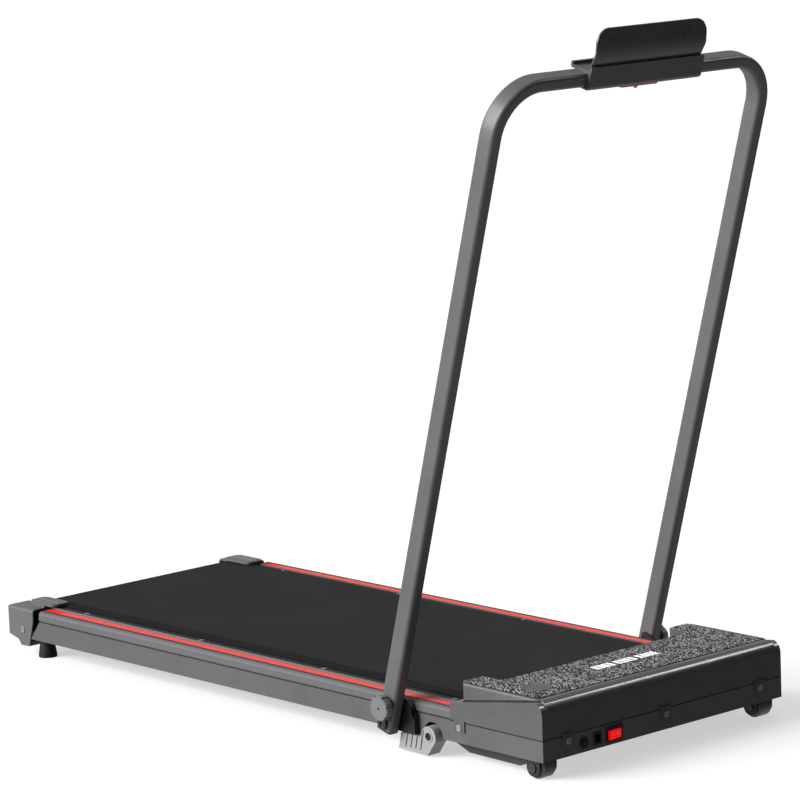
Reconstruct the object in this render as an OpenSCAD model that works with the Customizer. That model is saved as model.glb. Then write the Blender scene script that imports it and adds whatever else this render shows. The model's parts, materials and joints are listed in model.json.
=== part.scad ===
// Folding walking-pad treadmill with a handrail.
// Lengths along Y are counted from the front face of the hood, and to_row() then centres the part.

/* [Overall] */
// Width of the hood and of the frame
frame_w = 490; // [470:1:520]
// Length from the front face of the hood to the rear caps
frame_len = 1253; // [1200:1:1300]
// Height of the walking surface
belt_top = 80.4; // [79:0.2:82]
// Height of the underside of the frame
beam_bottom = 29; // [28:0.5:30]
// Height of the seam between the frame and the parts that sit on it
seam_z = 60; // [59:0.5:61]

/* [Belt and rollers] */
// Width of the running belt
belt_w = 400; // [380:1:404]
// Thickness of the running belt
belt_t = 1.6; // [1.2:0.1:2]
// Radius of the two roller tubes
roller_r = 21; // [20:0.5:22]
// Distance of the front roller from the front face
front_roller_y = 105; // [100:1:108]
// Distance of the rear roller from the front face
rear_roller_y = 1212; // [1206:1:1215]
// Radius of the pulley on the front roller
big_pulley_r = 28; // [26:0.5:28]
// Radius of the pulley on the motor
small_pulley_r = 11; // [10:0.5:13]

/* [Hood] */
// Height of the flat top of the hood
hood_top = 116.6; // [112:0.2:120]
// Distance of the rear edge of the hood's middle from the front face
hood_rear = 134; // [130:1:138]
// Distance of the rear ends of the hood's two wings from the front face
wing_rear = 176; // [170:1:182]
// Half width of the recess between the wings
wing_in = 193; // [185:1:198]
// Half width of the raised upper tier
tier_w = 234.5; // [230:0.5:238]
// Distance of the rear end of the lower tier from the front face
skirt_rear = 190; // [186:1:194]
// Radius of the hood's front top edge
hood_r = 18; // [14:1:22]
// Wall thickness of the moulded covers
skin = 2.5; // [2:0.1:3]

/* [Handrail] */
// Forward lean of the handrail from upright
lean = 16.5; // [12:0.5:20]
// Height of the handrail along its own slope
rail_h = 1025.4; // [950:1:1100]
// Width over the outside of the two uprights
rail_w = 550; // [548:0.5:552]
// Thickness of the tube across the frame
tube_x = 20; // [18:0.5:20]
// Depth of the tube along the frame
tube_y = 30; // [26:1:32]
// Centre radius of the two bends
bend_r = 72; // [60:1:80]
// Distance from the front face where the slope of the handrail meets the floor
rail_foot_y = 312.3; // [306:0.5:320]
// Height of the folding pivot along the slope
pivot_h = 45; // [44:0.5:47]
// Height of the lock knob along the slope
knob_h = 72; // [70:0.5:74]

/* [Wheels and feet] */
// Radius of the front transport wheels
wheel_r = 17; // [16:0.5:18]
// Distance of the wheels from the front face
wheel_y = 27; // [24:1:28]
// Distance of the rear feet from the front face
rear_foot_y = 1172; // [1166:1:1173]
// Distance of the incline feet's pivots from the front face
foot_y = 227; // [220:1:232]

/* [Hidden] */
$fn = 48;

eps = 0.01;
over = 1;
fit = 0.05;
gap = 0.3;
side = frame_w / 2;
wall = 2;
beam_in = side - 28;
rail_in = 212.5;
rail_top = 77.4;
plate_t = 2.2;
strip_x = 235;
strip_w = 18.3;
rib_pitch = 2.3;

axis_z = belt_top - belt_t - gap - roller_r;
belt_in_r = roller_r + gap;
belt_out_r = belt_in_r + belt_t;
deck_top = belt_top - belt_t;
deck_t = 15;
deck_w = 422;
deck_front = 137;
deck_rear = 1179;
tube_end = 202;
tension_x = 212;
axle_r = 6;
bearing_w = 12;
bearing_r = 14;
pulley_x = 203.2;
pulley_w = 9;
cross_ys = [212, 500, 790, 1080];
cross_w = 20;
cushion_t = 4;
cross_top = deck_top - deck_t - cushion_t;
cushion_x = 150;
deck_screw_x = 205.4;

motor_y = 42;
motor_z = 64;
motor_r = 31;
motor_x0 = -30;
motor_x1 = 150;

cap_front = 1183;
cap_top = 77.6;
rail_end = 1166;
tongue_x = 217;
tongue_t = 4;

wheel_z = wheel_r;
wheel_x = 222.5;
wheel_w = 26;
fork_t = 2.5;
fork_in = wheel_w / 2 + 1.5;
fork_top = 36.5;
screw_z = 52;
tab_w = 21;
tab_t = 2;
front_tabs = [-197, 0, 197];
side_tab_y = 169;
cap_screw_y = 1210;
cap_screw_z = 42;

board_x0 = -190;
board_x1 = -60;
board_y0 = 34;
board_y1 = 76;
board_z = beam_bottom + wall + 8;
led_x0 = -62;
led_x1 = 72;
led_y0 = 72;
led_y1 = 92;
speaker_x = -190;
speaker_y = 66;
grille_r = 22;
slat_pitch = 4.8;
film_t = 0.8;
switch_x = -104.75;
switch_z = 43.5;
rocker_y = 2.4;
rocker_tilt = 8;

foot_z = 31;
foot_out = side + 9.4;
foot_in = side - 16;
foot_r = 15;
foot_notch_r = 20;
pin_r = 4;

rail_side = rail_w / 2;
tube_in = rail_side - tube_x;
bracket_out = tube_in - gap;
bolt_r = 5;
stud_r = 4;
tube_foot_h = 35;
crossbar_h = rail_h - tube_x / 2;

console_w = 224;
console_front = -21;
console_bottom = rail_h - tube_x - 4;
console_floor = rail_h + 4.8;
console_top = rail_h + 11.1;
plate_w = 218;
plate_top_y = -16.5;
plate_top_h = rail_h + 65.6;

front_reach = rail_foot_y + plate_top_y * cos(lean) - plate_top_h * sin(lean);
mid_y = (frame_len + front_reach) / 2;

// Places a shape, built from the front face of the hood, about the middle of the part.
module to_row() {
    translate([0, -mid_y, 0]) children();
}

// Places a shape, built on the slope of the handrail, where X is across, Z is up the slope
// and -Y is the front of the slope.
module on_slope() {
    to_row() translate([0, rail_foot_y, 0]) rotate([lean, 0, 0]) children();
}

// Makes the right-hand twin of a left-hand shape.
module twin() {
    mirror([1, 0, 0]) children();
}

// Both sides of the machine.
module pair() {
    children();
    mirror([1, 0, 0]) children();
}

// Stretches a flat (y, z) outline along X from x0 to x1.
module along_x(x0, x1) {
    translate([x0, 0, 0]) rotate([90, 0, 90]) linear_extrude(x1 - x0) children();
}

// Stretches a flat (x, z) outline along Y from y0 to y1.
module along_y(y0, y1) {
    translate([0, y1, 0]) rotate([90, 0, 0]) linear_extrude(y1 - y0) children();
}

// A rod along X.
module rod_x(x0, x1, y, z, r) {
    translate([x0, y, z]) rotate([0, 90, 0]) cylinder(r = r, h = x1 - x0);
}

// A rod along Y.
module rod_y(y0, y1, x, z, r) {
    translate([x, y1, z]) rotate([90, 0, 0]) cylinder(r = r, h = y1 - y0);
}

// A block between two corners.
module block(a, b) {
    translate(a) cube([b[0] - a[0], b[1] - a[1], b[2] - a[2]]);
}

// A rectangle, centred, with true round corners.
module round_rect(w, h, r) {
    square([w - 2 * r, h], center = true);
    square([w, h - 2 * r], center = true);
    for (x = [-1, 1], y = [-1, 1])
        translate([x * (w / 2 - r), y * (h / 2 - r)]) circle(r = r);
}

// ---------------------------------------------------------------- frame

// Upright plate that holds one end of a roller axle.
module axle_plate(y, reach, top) {
    block([-tongue_x - tongue_t, y - reach, 40], [-tongue_x, y + 20, top]);
}

// Outline of the slanted rear end of a beam, seen from the side.
module beam_outline(inset) {
    polygon([
        [plate_t, beam_bottom + inset],
        [rail_end + 24, beam_bottom + inset],
        [rail_end, seam_z - inset],
        [plate_t, seam_z - inset]
    ]);
}

module beam() {
    difference() {
        union() {
            difference() {
                along_x(-side, -beam_in) beam_outline(0);
                along_x(-side + wall, -beam_in - wall) translate([-over, 0]) beam_outline(wall);
                along_x(-side + wall, -beam_in - wall) translate([over, 0]) beam_outline(wall);
                block([-side + wall, plate_t + wall, 0], [-beam_in + over, 49, fork_top + fork_t]);
            }
            axle_plate(front_roller_y, 20, 74);
            axle_plate(rear_roller_y, 60, seam_z - eps);
            intersection() {
                axle_plate(rear_roller_y, 60, 74);
                block([-side, cap_front + 4, 0], [0, frame_len, 80]);
            }
            intersection() {
                rod_x(-foot_in - wall, -foot_in, foot_y, foot_z, foot_notch_r + 2);
                along_x(-side, -beam_in) beam_outline(0);
            }
            intersection() {
                rod_x(-foot_in, -beam_in, foot_y, foot_z, 9);
                along_x(-side, -beam_in) beam_outline(0);
            }
        }
        rod_x(-side - over, -foot_in - wall, foot_y, foot_z, foot_notch_r);
        rod_x(-side, -beam_in + over, foot_y, foot_z, pin_r);
        rod_x(-side - over, -side + wall + over, pivot_y(pivot_h), pivot_z(pivot_h), bolt_r + fit);
        rod_x(-side - over, -side + wall + over, side_tab_y, screw_z, 2);
        for (y = [front_roller_y, rear_roller_y])
            rod_x(-tongue_x - tongue_t - over, -tongue_x + over, y, axis_z, axle_r + fit);
    }
}

// Row coordinates of a point at height h up the middle of the slope.
function pivot_y(h) = rail_foot_y - h * sin(lean);
function pivot_z(h) = h * cos(lean);

module left_beam() {
    color([0.20, 0.20, 0.21]) to_row() beam();
}

module right_beam() {
    color([0.20, 0.20, 0.21]) to_row() twin() beam();
}

// Square tubes across the frame, between the two runs of the belt.
module cross_members() {
    color([0.16, 0.16, 0.17]) to_row()
        for (y = cross_ys)
            difference() {
                block([-beam_in, y, cross_top - cross_w], [beam_in, y + cross_w, cross_top]);
                block([-beam_in - over, y + wall, cross_top - cross_w + wall],
                    [beam_in + over, y + cross_w - wall, cross_top - wall]);
            }
}

// Front wall of the frame with its bottom flange, cut for the switch, inlet and breaker.
module front_panel() {
    color([0.13, 0.13, 0.14]) to_row() difference() {
        union() {
            block([-side, 0, beam_bottom], [side, plate_t, seam_z]);
            block([-beam_in, 0, beam_bottom], [beam_in, 78, beam_bottom + wall]);
        }
        pair() block([-side + wall + eps, plate_t + wall, 0], [-203, 49, fork_top]);
        block([-118.5, -over, 35.5], [-90.5, plate_t + over, 51.5]);
        block([-144, -over, 36.5], [-132, plate_t + over, 51.5]);
        rod_y(-over, plate_t + over, -165, 43, 6);
        for (x = front_tabs)
            rod_y(-over, plate_t + over, x, screw_z, 2);
    }
}

// Outline of the aluminium side rail, in x and z, for the left side.
module rail_outline() {
    difference() {
        union() {
            polygon([
                [-side, seam_z + 3], [-side + 2.5, seam_z + 0.4], [-rail_in - 3.5, seam_z + 0.4],
                [-rail_in - 3.5, 72], [-rail_in, 74], [-rail_in, rail_top + 1.8],
                [-rail_in - 2.5, rail_top + 1.8], [-rail_in - 4, rail_top],
                [-side + 7, rail_top], [-side, 72]
            ]);
            translate([-side + 7, 70.4]) circle(r = 7);
        }
        translate([-strip_x - 0.2, rail_top - 1.6]) square([strip_w + 0.4, 5]);
        translate([-side + 2.2, seam_z + 3]) square([23.8, 9.5]);
    }
}

module rail() {
    along_y(skirt_rear + gap, rail_end) rail_outline();
}

module left_rail() {
    color([0.42, 0.42, 0.44]) to_row() rail();
}

module right_rail() {
    color([0.42, 0.42, 0.44]) to_row() twin() rail();
}

// Ribbed anti-slip insert in the groove of a side rail.
module rail_strip() {
    along_y(skirt_rear + 4, rail_end - 1) {
        translate([-strip_x, rail_top - 1.6]) square([strip_w, 1.2]);
        for (i = [0 : 7])
            translate([i * rib_pitch - strip_x, rail_top - 0.5]) square([rib_pitch - 0.7, 0.7]);
    }
}

module left_rail_strip() {
    color([0.93, 0.22, 0.18]) to_row() rail_strip();
}

module right_rail_strip() {
    color([0.93, 0.22, 0.18]) to_row() twin() rail_strip();
}

// ---------------------------------------------------------------- deck and belt

module deck_board() {
    color([0.10, 0.10, 0.10]) to_row() difference() {
        block([-deck_w / 2, deck_front, deck_top - deck_t], [deck_w / 2, deck_rear, deck_top - eps]);
        for (y = cross_ys, x = [-deck_screw_x, deck_screw_x])
            translate([x, y + cross_w / 2, deck_top - deck_t - over]) {
                cylinder(r = 2.6, h = deck_t + 2);
                translate([0, 0, deck_t + over - 3.2]) cylinder(r = 5, h = 4);
            }
    }
}

// Rubber pads between the deck and the cross members.
module deck_cushions() {
    color([0.06, 0.06, 0.06]) to_row()
        for (y = cross_ys, x = [-cushion_x, 0, cushion_x])
            translate([x, y + cross_w / 2, cross_top]) cylinder(r = 9, h = cushion_t);
}

// Sunk screws that hold the deck to the cross members, outside the belt.
module deck_screws() {
    color([0.25, 0.25, 0.26]) to_row()
        for (y = cross_ys, x = [-deck_screw_x, deck_screw_x])
            translate([x, y + cross_w / 2, cross_top]) {
                cylinder(r = 2.4, h = cushion_t + deck_t - 3.2);
                translate([0, 0, cushion_t + deck_t - 3.2]) difference() {
                    cylinder(r = 4.8, h = 2.8);
                    translate([0, 0, 1.4]) cylinder(r = 2, h = 3, $fn = 6);
                }
            }
}

// Stadium outline around the two rollers, in y and z.
module belt_loop(r) {
    translate([front_roller_y, axis_z]) circle(r = r, $fn = 64);
    translate([rear_roller_y, axis_z]) circle(r = r, $fn = 64);
    translate([front_roller_y, axis_z - r]) square([rear_roller_y - front_roller_y, 2 * r]);
}

module running_belt() {
    color([0.09, 0.09, 0.09]) to_row() difference() {
        along_x(-belt_w / 2, belt_w / 2) belt_loop(belt_out_r);
        along_x(-belt_w / 2 - over, belt_w / 2 + over) belt_loop(belt_in_r);
    }
}

module roller_axles() {
    color([0.55, 0.55, 0.57]) to_row()
        for (y = [front_roller_y, rear_roller_y])
            difference() {
                rod_x(-tongue_x - tongue_t, tongue_x + tongue_t, y, axis_z, axle_r);
                if (y == rear_roller_y)
                    for (x = [-tension_x, tension_x])
                        rod_y(y - 10, y + 10, x, axis_z, 3);
            }
}

module roller_bearings() {
    color([0.6, 0.6, 0.62]) to_row()
        for (y = [front_roller_y, rear_roller_y], x = [-tube_end + 2, tube_end - 2 - bearing_w])
            difference() {
                rod_x(x, x + bearing_w, y, axis_z, bearing_r);
                rod_x(x - over, x + bearing_w + over, y, axis_z, axle_r + fit);
            }
}

// A roller: a tube with a bearing seat in each end and a bored core.
module roller(y) {
    difference() {
        rod_x(-tube_end, tube_end, y, axis_z, roller_r);
        rod_x(-tube_end - over, tube_end + over, y, axis_z, axle_r + 2);
        for (x = [-tube_end - over, tube_end - 2 - bearing_w - gap])
            rod_x(x, x + bearing_w + 2 + over + gap, y, axis_z, bearing_r + fit);
        rod_x(-tube_end + 26, tube_end - 26, y, axis_z, roller_r - 3);
    }
}

module front_roller() {
    color([0.5, 0.5, 0.52]) to_row() roller(front_roller_y);
}

module rear_roller() {
    color([0.5, 0.5, 0.52]) to_row() roller(rear_roller_y);
}

// Ribbed pulley: rims and belt grooves turned round an axis along X.
module grooved_pulley(y, z, r, bore) {
    difference() {
        union() {
            rod_x(pulley_x, pulley_x + pulley_w, y, z, r - 1);
            for (x = [pulley_x, pulley_x + pulley_w - 1.4])
                rod_x(x, x + 1.4, y, z, r + 0.6);
            for (i = [0 : 3])
                rod_x(pulley_x + 2.1 + i * 1.4, pulley_x + 2.8 + i * 1.4, y, z, r);
        }
        rod_x(pulley_x - over, pulley_x + pulley_w + over, y, z, bore);
    }
}

module roller_pulley() {
    color([0.3, 0.3, 0.32]) to_row() {
        grooved_pulley(front_roller_y, axis_z, big_pulley_r - 2, axle_r + 1);
        difference() {
            rod_x(tube_end, pulley_x, front_roller_y, axis_z, 18);
            rod_x(tube_end - over, pulley_x + over, front_roller_y, axis_z, bearing_r + fit);
        }
    }
}

// Point on a circle of radius r about c, at angle a.
function on_circle(c, r, a) = [c[0] + r * cos(a), c[1] + r * sin(a)];

// Band outline round the motor pulley (r1) and the roller pulley (r2), with straight runs.
module pulley_band(r1, r2) {
    c1 = [motor_y, motor_z];
    c2 = [front_roller_y, axis_z];
    base = atan2(c2[1] - c1[1], c2[0] - c1[0]);
    turn = acos((r1 - r2) / norm(c2 - c1));
    translate(c1) circle(r = r1);
    translate(c2) circle(r = r2);
    polygon([
        on_circle(c1, r1, base + turn), on_circle(c2, r2, base + turn),
        on_circle(c2, r2, base - turn), on_circle(c1, r1, base - turn)
    ]);
}

module drive_belt() {
    color([0.05, 0.05, 0.05]) to_row() difference() {
        along_x(pulley_x + 1.8, pulley_x + pulley_w - 1.8)
            pulley_band(small_pulley_r + 1.6, big_pulley_r);
        along_x(pulley_x, pulley_x + pulley_w)
            pulley_band(small_pulley_r, big_pulley_r - 1.6);
    }
}

// ---------------------------------------------------------------- motor and electronics

module motor_housing() {
    color([0.14, 0.14, 0.15]) to_row() difference() {
        union() {
            rod_x(motor_x0, motor_x1 - 6, motor_y, motor_z, motor_r);
            rod_x(motor_x0 - 8, motor_x0, motor_y, motor_z, 14);
        }
        rod_x(motor_x0 + 4, motor_x1, motor_y, motor_z, motor_r - 3);
        rod_x(motor_x0 - 4, motor_x0 + 5, motor_y, motor_z, 5 + fit);
    }
}

module motor_end_cap() {
    color([0.5, 0.5, 0.52]) to_row() difference() {
        union() {
            rod_x(motor_x1 - 6, motor_x1, motor_y, motor_z, motor_r);
            rod_x(motor_x1, motor_x1 + 6, motor_y, motor_z, 13);
        }
        rod_x(motor_x1 - 7, motor_x1 + 7, motor_y, motor_z, 5 + fit);
        for (a = [30 : 60 : 330])
            rod_x(motor_x1 - 7, motor_x1 + 1, motor_y + 22 * cos(a), motor_z + 22 * sin(a), 4);
    }
}

// Cradle under the motor, on the flange of the front panel.
module motor_mount() {
    color([0.2, 0.2, 0.22]) to_row() difference() {
        union() {
            for (x = [motor_x0 + 25, motor_x1 - 50])
                block([x, motor_y - 28, beam_bottom + wall + 2], [x + 18, motor_y + 28, motor_z - 14]);
            block([motor_x0 + 25, motor_y - 30, beam_bottom + wall],
                [motor_x1 - 32, motor_y + 30, beam_bottom + wall + 2]);
        }
        rod_x(motor_x0, motor_x1, motor_y, motor_z, motor_r);
    }
}

// Motor shaft with its armature.
module motor_shaft() {
    color([0.62, 0.5, 0.38]) to_row() {
        rod_x(motor_x0 - 3.7, pulley_x + pulley_w + 2, motor_y, motor_z, 5);
        rod_x(motor_x0 + 16, motor_x1 - 40, motor_y, motor_z, 22);
        rod_x(motor_x1 - 34, motor_x1 - 14, motor_y, motor_z, 13);
    }
}

module motor_pulley() {
    color([0.3, 0.3, 0.32]) to_row()
        grooved_pulley(motor_y, motor_z, small_pulley_r - 0.4, 5);
}

// Controller board on four posts, with its capacitors and terminals.
module control_board() {
    color([0.08, 0.28, 0.14]) to_row() {
        block([board_x0, board_y0, board_z], [board_x1, board_y1, board_z + 1.6]);
        for (x = [board_x0 + 5, board_x1 - 5], y = [board_y0 + 5, board_y1 - 5])
            translate([x, y, beam_bottom + wall]) cylinder(r = 3, h = 8);
        for (x = [-112, -94], y = [46, 64])
            translate([x, y, board_z + 1.6]) cylinder(r = 8, h = 22);
        block([-82, 40, board_z + 1.6], [-66, 70, board_z + 12]);
    }
}

module heat_sink() {
    color([0.7, 0.7, 0.72]) to_row() {
        block([-182, 38, board_z + 1.6], [-126, 74, board_z + 5]);
        for (y = [38 : 6 : 72])
            block([-182, y, board_z + 5], [-126, y + 2, board_z + 24]);
    }
}

// Sheet tray that closes the frame from below, under the motor and the front roller.
module belly_pan() {
    color([0.11, 0.11, 0.12]) to_row() difference() {
        along_x(-226, 226) polygon([
            [40.5, beam_bottom], [40.5, 20.7], [67, 10.4], [171, 11.3], [199, 21.7],
            [199, beam_bottom]
        ]);
        along_x(-224, 224) polygon([
            [42.5, beam_bottom + over], [42.5, 22.1], [67.4, 12.4], [170.6, 13.3], [197, 23.1],
            [197, beam_bottom + over]
        ]);
        pair() block([-227, 30, 0], [-203, 49, beam_bottom + over]);
    }
}

// ---------------------------------------------------------------- hood

// Side outline of the hood with a round front top edge.
module hood_profile(t, top) {
    r = hood_r - t;
    translate([t, 0]) square([220, top - hood_r]);
    translate([hood_r, 0]) square([220, top - t]);
    translate([hood_r, top - hood_r]) circle(r = r);
}

// Outline of the lower tier, whose top falls towards the rear.
module skirt_profile(t, drop) {
    intersection() {
        hood_profile(t, 114);
        polygon([
            [t, 0], [t, 115.5 - drop], [skirt_rear - t, 85.7 - drop], [skirt_rear - t, 0]
        ]);
    }
}

// Plan of the upper tier: a bar with a wing at each end.
module hood_plan(t) {
    difference() {
        union() {
            translate([-tier_w + t, 0]) square([2 * (tier_w - t), wing_rear - t - 8]);
            translate([-tier_w + t + 8, 0]) square([2 * (tier_w - t - 8), wing_rear - t]);
            for (x = [-1, 1])
                translate([x * (tier_w - t - 8), wing_rear - t - 8]) circle(r = 8);
        }
        translate([0, hood_rear - t + 100]) round_rect(2 * (wing_in + t), 200, 16 + t);
    }
}

// The whole hood as a block; t shrinks it to the hollow inside.
module hood_block(t) {
    intersection() {
        along_x(-tier_w + t, tier_w - t) hood_profile(t, hood_top);
        linear_extrude(200) hood_plan(t);
        along_y(0, 200) translate([0, hood_top - t - 100])
            round_rect(2 * (tier_w - t), 200, 6 - t / 2);
    }
    pair() {
        along_x(-side + t, -tier_w + t + eps) skirt_profile(t, t == 0 ? 0 : 6);
        intersection() {
            along_x(-side + t, -rail_in - 0.7 - t) skirt_profile(t, t == 0 ? 0 : 6);
            block([-side, wing_rear - 14, 0], [0, 200, 100]);
        }
    }
}

// Tab that laps over the frame and takes a screw, on the front face.
module front_tab(x) {
    block([x - tab_w / 2, -tab_t, screw_z - 6], [x + tab_w / 2, 0, seam_z + 3]);
    block([x - tab_w / 2 - 1, -tab_t - 0.8, seam_z + 1.6], [x + tab_w / 2 + 1, 1, seam_z + 3]);
}

// Hollow of the hood, its opening for the belt, the groove between the tiers and the windows.
module hood_shell() {
    difference() {
        hood_block(0);
        hood_block(skin);
        block([-side - over, -over, -over], [side + over, 240, seam_z + 0.6]);
        block([-rail_in - 0.7, 60, 0], [rail_in + 0.7, 240, belt_top + 2.6]);
        pair() along_x(-tier_w - 2.2, -tier_w) polygon([
            [10, 112.6], [skirt_rear, 83.2], [skirt_rear, 120], [10, 120]
        ]);
        block([led_x0 - 0.5, led_y0 - 0.5, 100], [led_x1 + 0.5, led_y1 + 0.5, 130]);
        translate([speaker_x, speaker_y, 100]) cylinder(r = 14, h = 30);
    }
}

// Motor cover: raised top with two wings, lower side skirts and the screw tabs.
module hood_cover() {
    color([0.15, 0.15, 0.16]) to_row() difference() {
        union() {
            hood_shell();
            for (x = front_tabs)
                front_tab(x);
            pair() {
                block([-side - tab_t, side_tab_y - tab_w / 2, screw_z - 6],
                    [-side, side_tab_y + tab_w / 2, seam_z + 3]);
                block([-side - tab_t, side_tab_y - tab_w / 2, seam_z + 1.6],
                    [-side + 1, side_tab_y + tab_w / 2, seam_z + 3]);
            }
        }
        for (x = front_tabs)
            rod_y(-10, 0.5, x, screw_z, 2);
        pair() rod_x(-side - 10, -side + 0.5, side_tab_y, screw_z, 2);
    }
}

// Patterned film on the flat of the hood, open for the speaker.
module hood_panel() {
    color([0.5, 0.5, 0.5]) to_row() translate([0, 0, hood_top]) linear_extrude(film_t) difference() {
        intersection() {
            hood_plan(0.6);
            translate([-tier_w + 6, hood_r]) square([2 * tier_w - 12, wing_rear]);
        }
        translate([speaker_x, speaker_y]) circle(r = grille_r + 0.3);
    }
}

// Display circuit board with the light block that shines through the film.
module display_board() {
    color([0.05, 0.2, 0.12]) to_row() {
        block([led_x0 - 6, led_y0 - 6, hood_top - skin - 4.7],
            [led_x1 + 6, led_y1 + 6, hood_top - skin - 3.1]);
        block([led_x0, led_y0, hood_top - skin - 3.1], [led_x1, led_y1, hood_top - 0.05]);
    }
}

module speaker() {
    color([0.07, 0.07, 0.07]) to_row() translate([speaker_x, speaker_y, hood_top - skin]) {
        translate([0, 0, -7]) cylinder(r = 18, h = 7);
        translate([0, 0, -14]) cylinder(r = 11, h = 7.5);
    }
}

module speaker_grille() {
    color([0.08, 0.08, 0.09]) to_row() translate([speaker_x, speaker_y, hood_top]) difference() {
        cylinder(r = grille_r, h = 1.2);
        for (i = [-3 : 3])
            translate([i * slat_pitch - 1, -sqrt(300 - 20 * i * i), -over])
                cube([2, 2 * sqrt(300 - 20 * i * i), 4]);
    }
}

// ---------------------------------------------------------------- front fittings

// Socket for a removable lead, with two contact pins.
module power_inlet() {
    color([0.04, 0.04, 0.04]) to_row() {
        difference() {
            union() {
                block([-143.9, 0, 36.6], [-132.1, 24, 51.4]);
                block([-146, -1, 34.6], [-130, 0, 53.4]);
            }
            intersection() {
                block([-143, -2, 37.7], [-133, 16, 50.3]);
                rod_y(-2, 16, -138, 44, 6.9);
            }
        }
        for (z = [41, 47])
            rod_y(6, 17, -138, z, 1.2);
    }
}

module breaker_body() {
    color([0.07, 0.07, 0.07]) to_row() difference() {
        union() {
            rod_y(-1.4, 0, -165, 43, 8.5);
            rod_y(0, plate_t, -165, 43, 5.95);
            rod_y(plate_t, 26, -165, 43, 8);
        }
        rod_y(-2, 14, -165, 43, 4.2 + fit);
    }
}

module breaker_button() {
    color([0.1, 0.1, 0.1]) to_row() {
        rod_y(-2.2, 10, -165, 43, 4.2);
        rod_y(-2.8, -2.2, -165, 43, 3.4);
    }
}

module switch_housing() {
    color([0.05, 0.05, 0.05]) to_row() difference() {
        union() {
            block([switch_x - 15.8, -1.8, 33.8], [switch_x + 15.8, 0, 53.2]);
            block([switch_x - 13.7, 0, 35.6], [switch_x + 13.7, 22, 51.4]);
            block([switch_x - 17.5, -3.4, 53.2], [switch_x + 17.5, 0, 54.4]);
        }
        block([switch_x - 12.95, -5, switch_z - 6.8], [switch_x + 12.95, 12, switch_z + 6.8]);
        translate([switch_x, rocker_y, 34.6]) cylinder(r = 1.2 + fit, h = 17);
    }
}

// Rocker with a hollow front made of two flats, tilted to its off side.
module switch_rocker() {
    color([0.85, 0.02, 0.02]) to_row()
        translate([switch_x, rocker_y, 0]) rotate([0, 0, rocker_tilt]) {
            translate([0, 0, switch_z - 6.5]) linear_extrude(13) polygon([
                [-11.8, -6.2], [0, -4.5], [11.8, -6.2], [11.8, 2.4], [0, 5], [-11.8, 2.4]
            ]);
            translate([0, 0, 35.8]) cylinder(r = 1.2, h = 15.4);
        }
}

// Button-head screws of the covers: three in front, one on each side and one in each cap.
module case_screw() {
    difference() {
        union() {
            cylinder(r = 5, h = 1.1);
            cylinder(r = 3.9, h = 2);
            translate([0, 0, -9]) cylinder(r = 1.95, h = 9);
        }
        translate([0, 0, 0.8]) cylinder(r = 1.9, h = 3, $fn = 6);
    }
}

module case_screws() {
    color([0.35, 0.35, 0.37]) to_row() {
        for (x = front_tabs)
            translate([x, -tab_t, screw_z]) rotate([90, 0, 0]) case_screw();
        pair() translate([-side - tab_t, side_tab_y, screw_z]) rotate([0, -90, 0]) case_screw();
        pair() translate([-side, cap_screw_y, cap_screw_z]) rotate([0, -90, 0]) case_screw();
    }
}

// ---------------------------------------------------------------- wheels and feet

module wheel_fork() {
    difference() {
        union() {
            for (s = [-1, 1])
                translate([-wheel_x + s * (fork_in + fork_t / 2), 0, 0]) along_x(-fork_t / 2, fork_t / 2) {
                    translate([wheel_y, wheel_z]) circle(r = 13);
                    translate([wheel_y - 13, wheel_z]) square([26, fork_top + fork_t - wheel_z]);
                }
            block([-wheel_x - fork_in, wheel_y - 13, fork_top],
                [-wheel_x + fork_in, wheel_y + 13, fork_top + fork_t]);
        }
        rod_x(-side, -200, wheel_y, wheel_z, 4);
    }
}

module left_wheel_fork() {
    color([0.12, 0.12, 0.13]) to_row() wheel_fork();
}

module right_wheel_fork() {
    color([0.12, 0.12, 0.13]) to_row() twin() wheel_fork();
}

module wheel_axles() {
    color([0.4, 0.4, 0.42]) to_row() pair() {
        rod_x(-wheel_x - fork_in - fork_t, -wheel_x + fork_in + fork_t, wheel_y, wheel_z, 4);
        rod_x(-wheel_x - fork_in - fork_t - 2.4, -wheel_x - fork_in - fork_t, wheel_y, wheel_z, 6.5);
        rod_x(-wheel_x + fork_in + fork_t, -wheel_x + fork_in + fork_t + 2, wheel_y, wheel_z, 6);
    }
}

module wheel() {
    difference() {
        union() {
            rod_x(-wheel_x - wheel_w / 2 + 2, -wheel_x + wheel_w / 2 - 2, wheel_y, wheel_z, wheel_r);
            rod_x(-wheel_x - wheel_w / 2, -wheel_x + wheel_w / 2, wheel_y, wheel_z, wheel_r - 2);
        }
        rod_x(-side, -200, wheel_y, wheel_z, 4 + fit);
        for (s = [-1, 1])
            translate([-wheel_x + s * wheel_w / 2, 0, 0]) difference() {
                rod_x(-3, 3, wheel_y, wheel_z, wheel_r - 4.5);
                rod_x(-4, 4, wheel_y, wheel_z, 7);
            }
    }
}

module left_wheel() {
    color([0.2, 0.2, 0.21]) to_row() wheel();
}

module right_wheel() {
    color([0.2, 0.2, 0.21]) to_row() twin() wheel();
}

// Rubber feet under the rear of the beams.
module rear_feet() {
    color([0.03, 0.03, 0.03]) to_row() pair() translate([-226, rear_foot_y, 0]) {
        cylinder(r = 15, h = 4);
        translate([0, 0, 4]) cylinder(r1 = 15, r2 = 11.5, h = beam_bottom - 7);
        translate([0, 0, beam_bottom - 3]) cylinder(r = 11.5, h = 3);
    }
}

// ---------------------------------------------------------------- rear caps

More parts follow.
